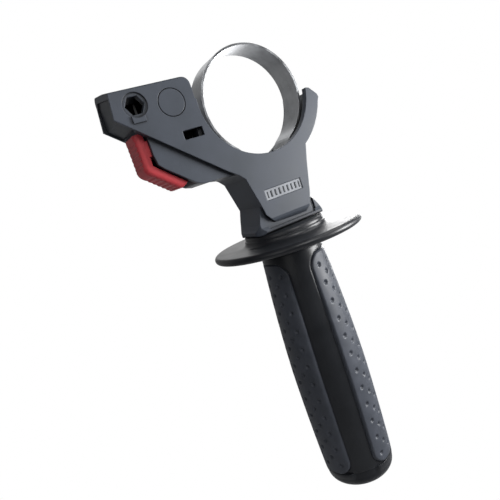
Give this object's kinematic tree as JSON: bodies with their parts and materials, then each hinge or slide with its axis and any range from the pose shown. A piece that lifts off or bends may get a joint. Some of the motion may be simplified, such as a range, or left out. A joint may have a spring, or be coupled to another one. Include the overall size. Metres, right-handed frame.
{
  "type": "power tool side handle",
  "caption": "Side handle with a steel clamping band, moulded bracket, depth gauge passage with release button, and screw-tightened grip.",
  "frame": {"origin": "centre of the loose clamping band, half way along its width", "axes": "+Y along the tool's axis from the front face to the back face, +Z along the grip towards the band, +X from the depth gauge passage towards the horn"},
  "size_m": [0.1035, 0.0756, 0.2264],
  "materials": {
    "bracket_plastic": "matt glass-filled moulding",
    "cover_plastic": "matt dark moulding",
    "band_steel": "satin rolled strip",
    "bolt_steel": "zinc plated",
    "spring_steel": "drawn wire",
    "button_plastic": "satin red moulding",
    "grip_plastic": "smooth semi-gloss moulding",
    "insert_brass": "turned",
    "pad_rubber": "soft matt with dimples"
  },
  "bodies": {
    "bracket": {"housing": "bracket_plastic", "end_cover": "cover_plastic", "cover_pin": "bolt_steel", "thrust_washer": "bolt_steel", "front_spring": "spring_steel", "rear_spring": "spring_steel"},
    "grip": {"grip_core": "grip_plastic", "thread_insert": "insert_brass", "pad_left": "pad_rubber", "pad_right": "pad_rubber", "end_cap": "grip_plastic"},
    "clamp": {"clamp_band": "band_steel", "clamp_bolt": "bolt_steel"},
    "button": {"release_button": "button_plastic", "latch_plate": "bolt_steel", "latch_pin": "bolt_steel"}
  },
  "joints": [
    {"name": "grip_turn", "type": "hinge", "parent": "bracket", "child": "grip", "pos_m": [-0.0017, 0, -0.0613], "axis": [0, 0, 1], "range_deg": [0, 720]},
    {"name": "clamp_travel", "type": "slide", "parent": "bracket", "child": "clamp", "axis": [0, 0, -1], "range_m": [0, 0.0025]},
    {"name": "button_press", "type": "slide", "parent": "bracket", "child": "button", "axis": [1, 0, 0], "range_m": [0, 0.0025], "stiffness_N_per_m": 4000, "springref_m": -0.002, "deforming": ["front_spring", "rear_spring"]}
  ],
  "couplings": [
    {"joint": "clamp_travel", "follows": "grip_turn", "m_per_rad": 0.00019894}
  ]
}
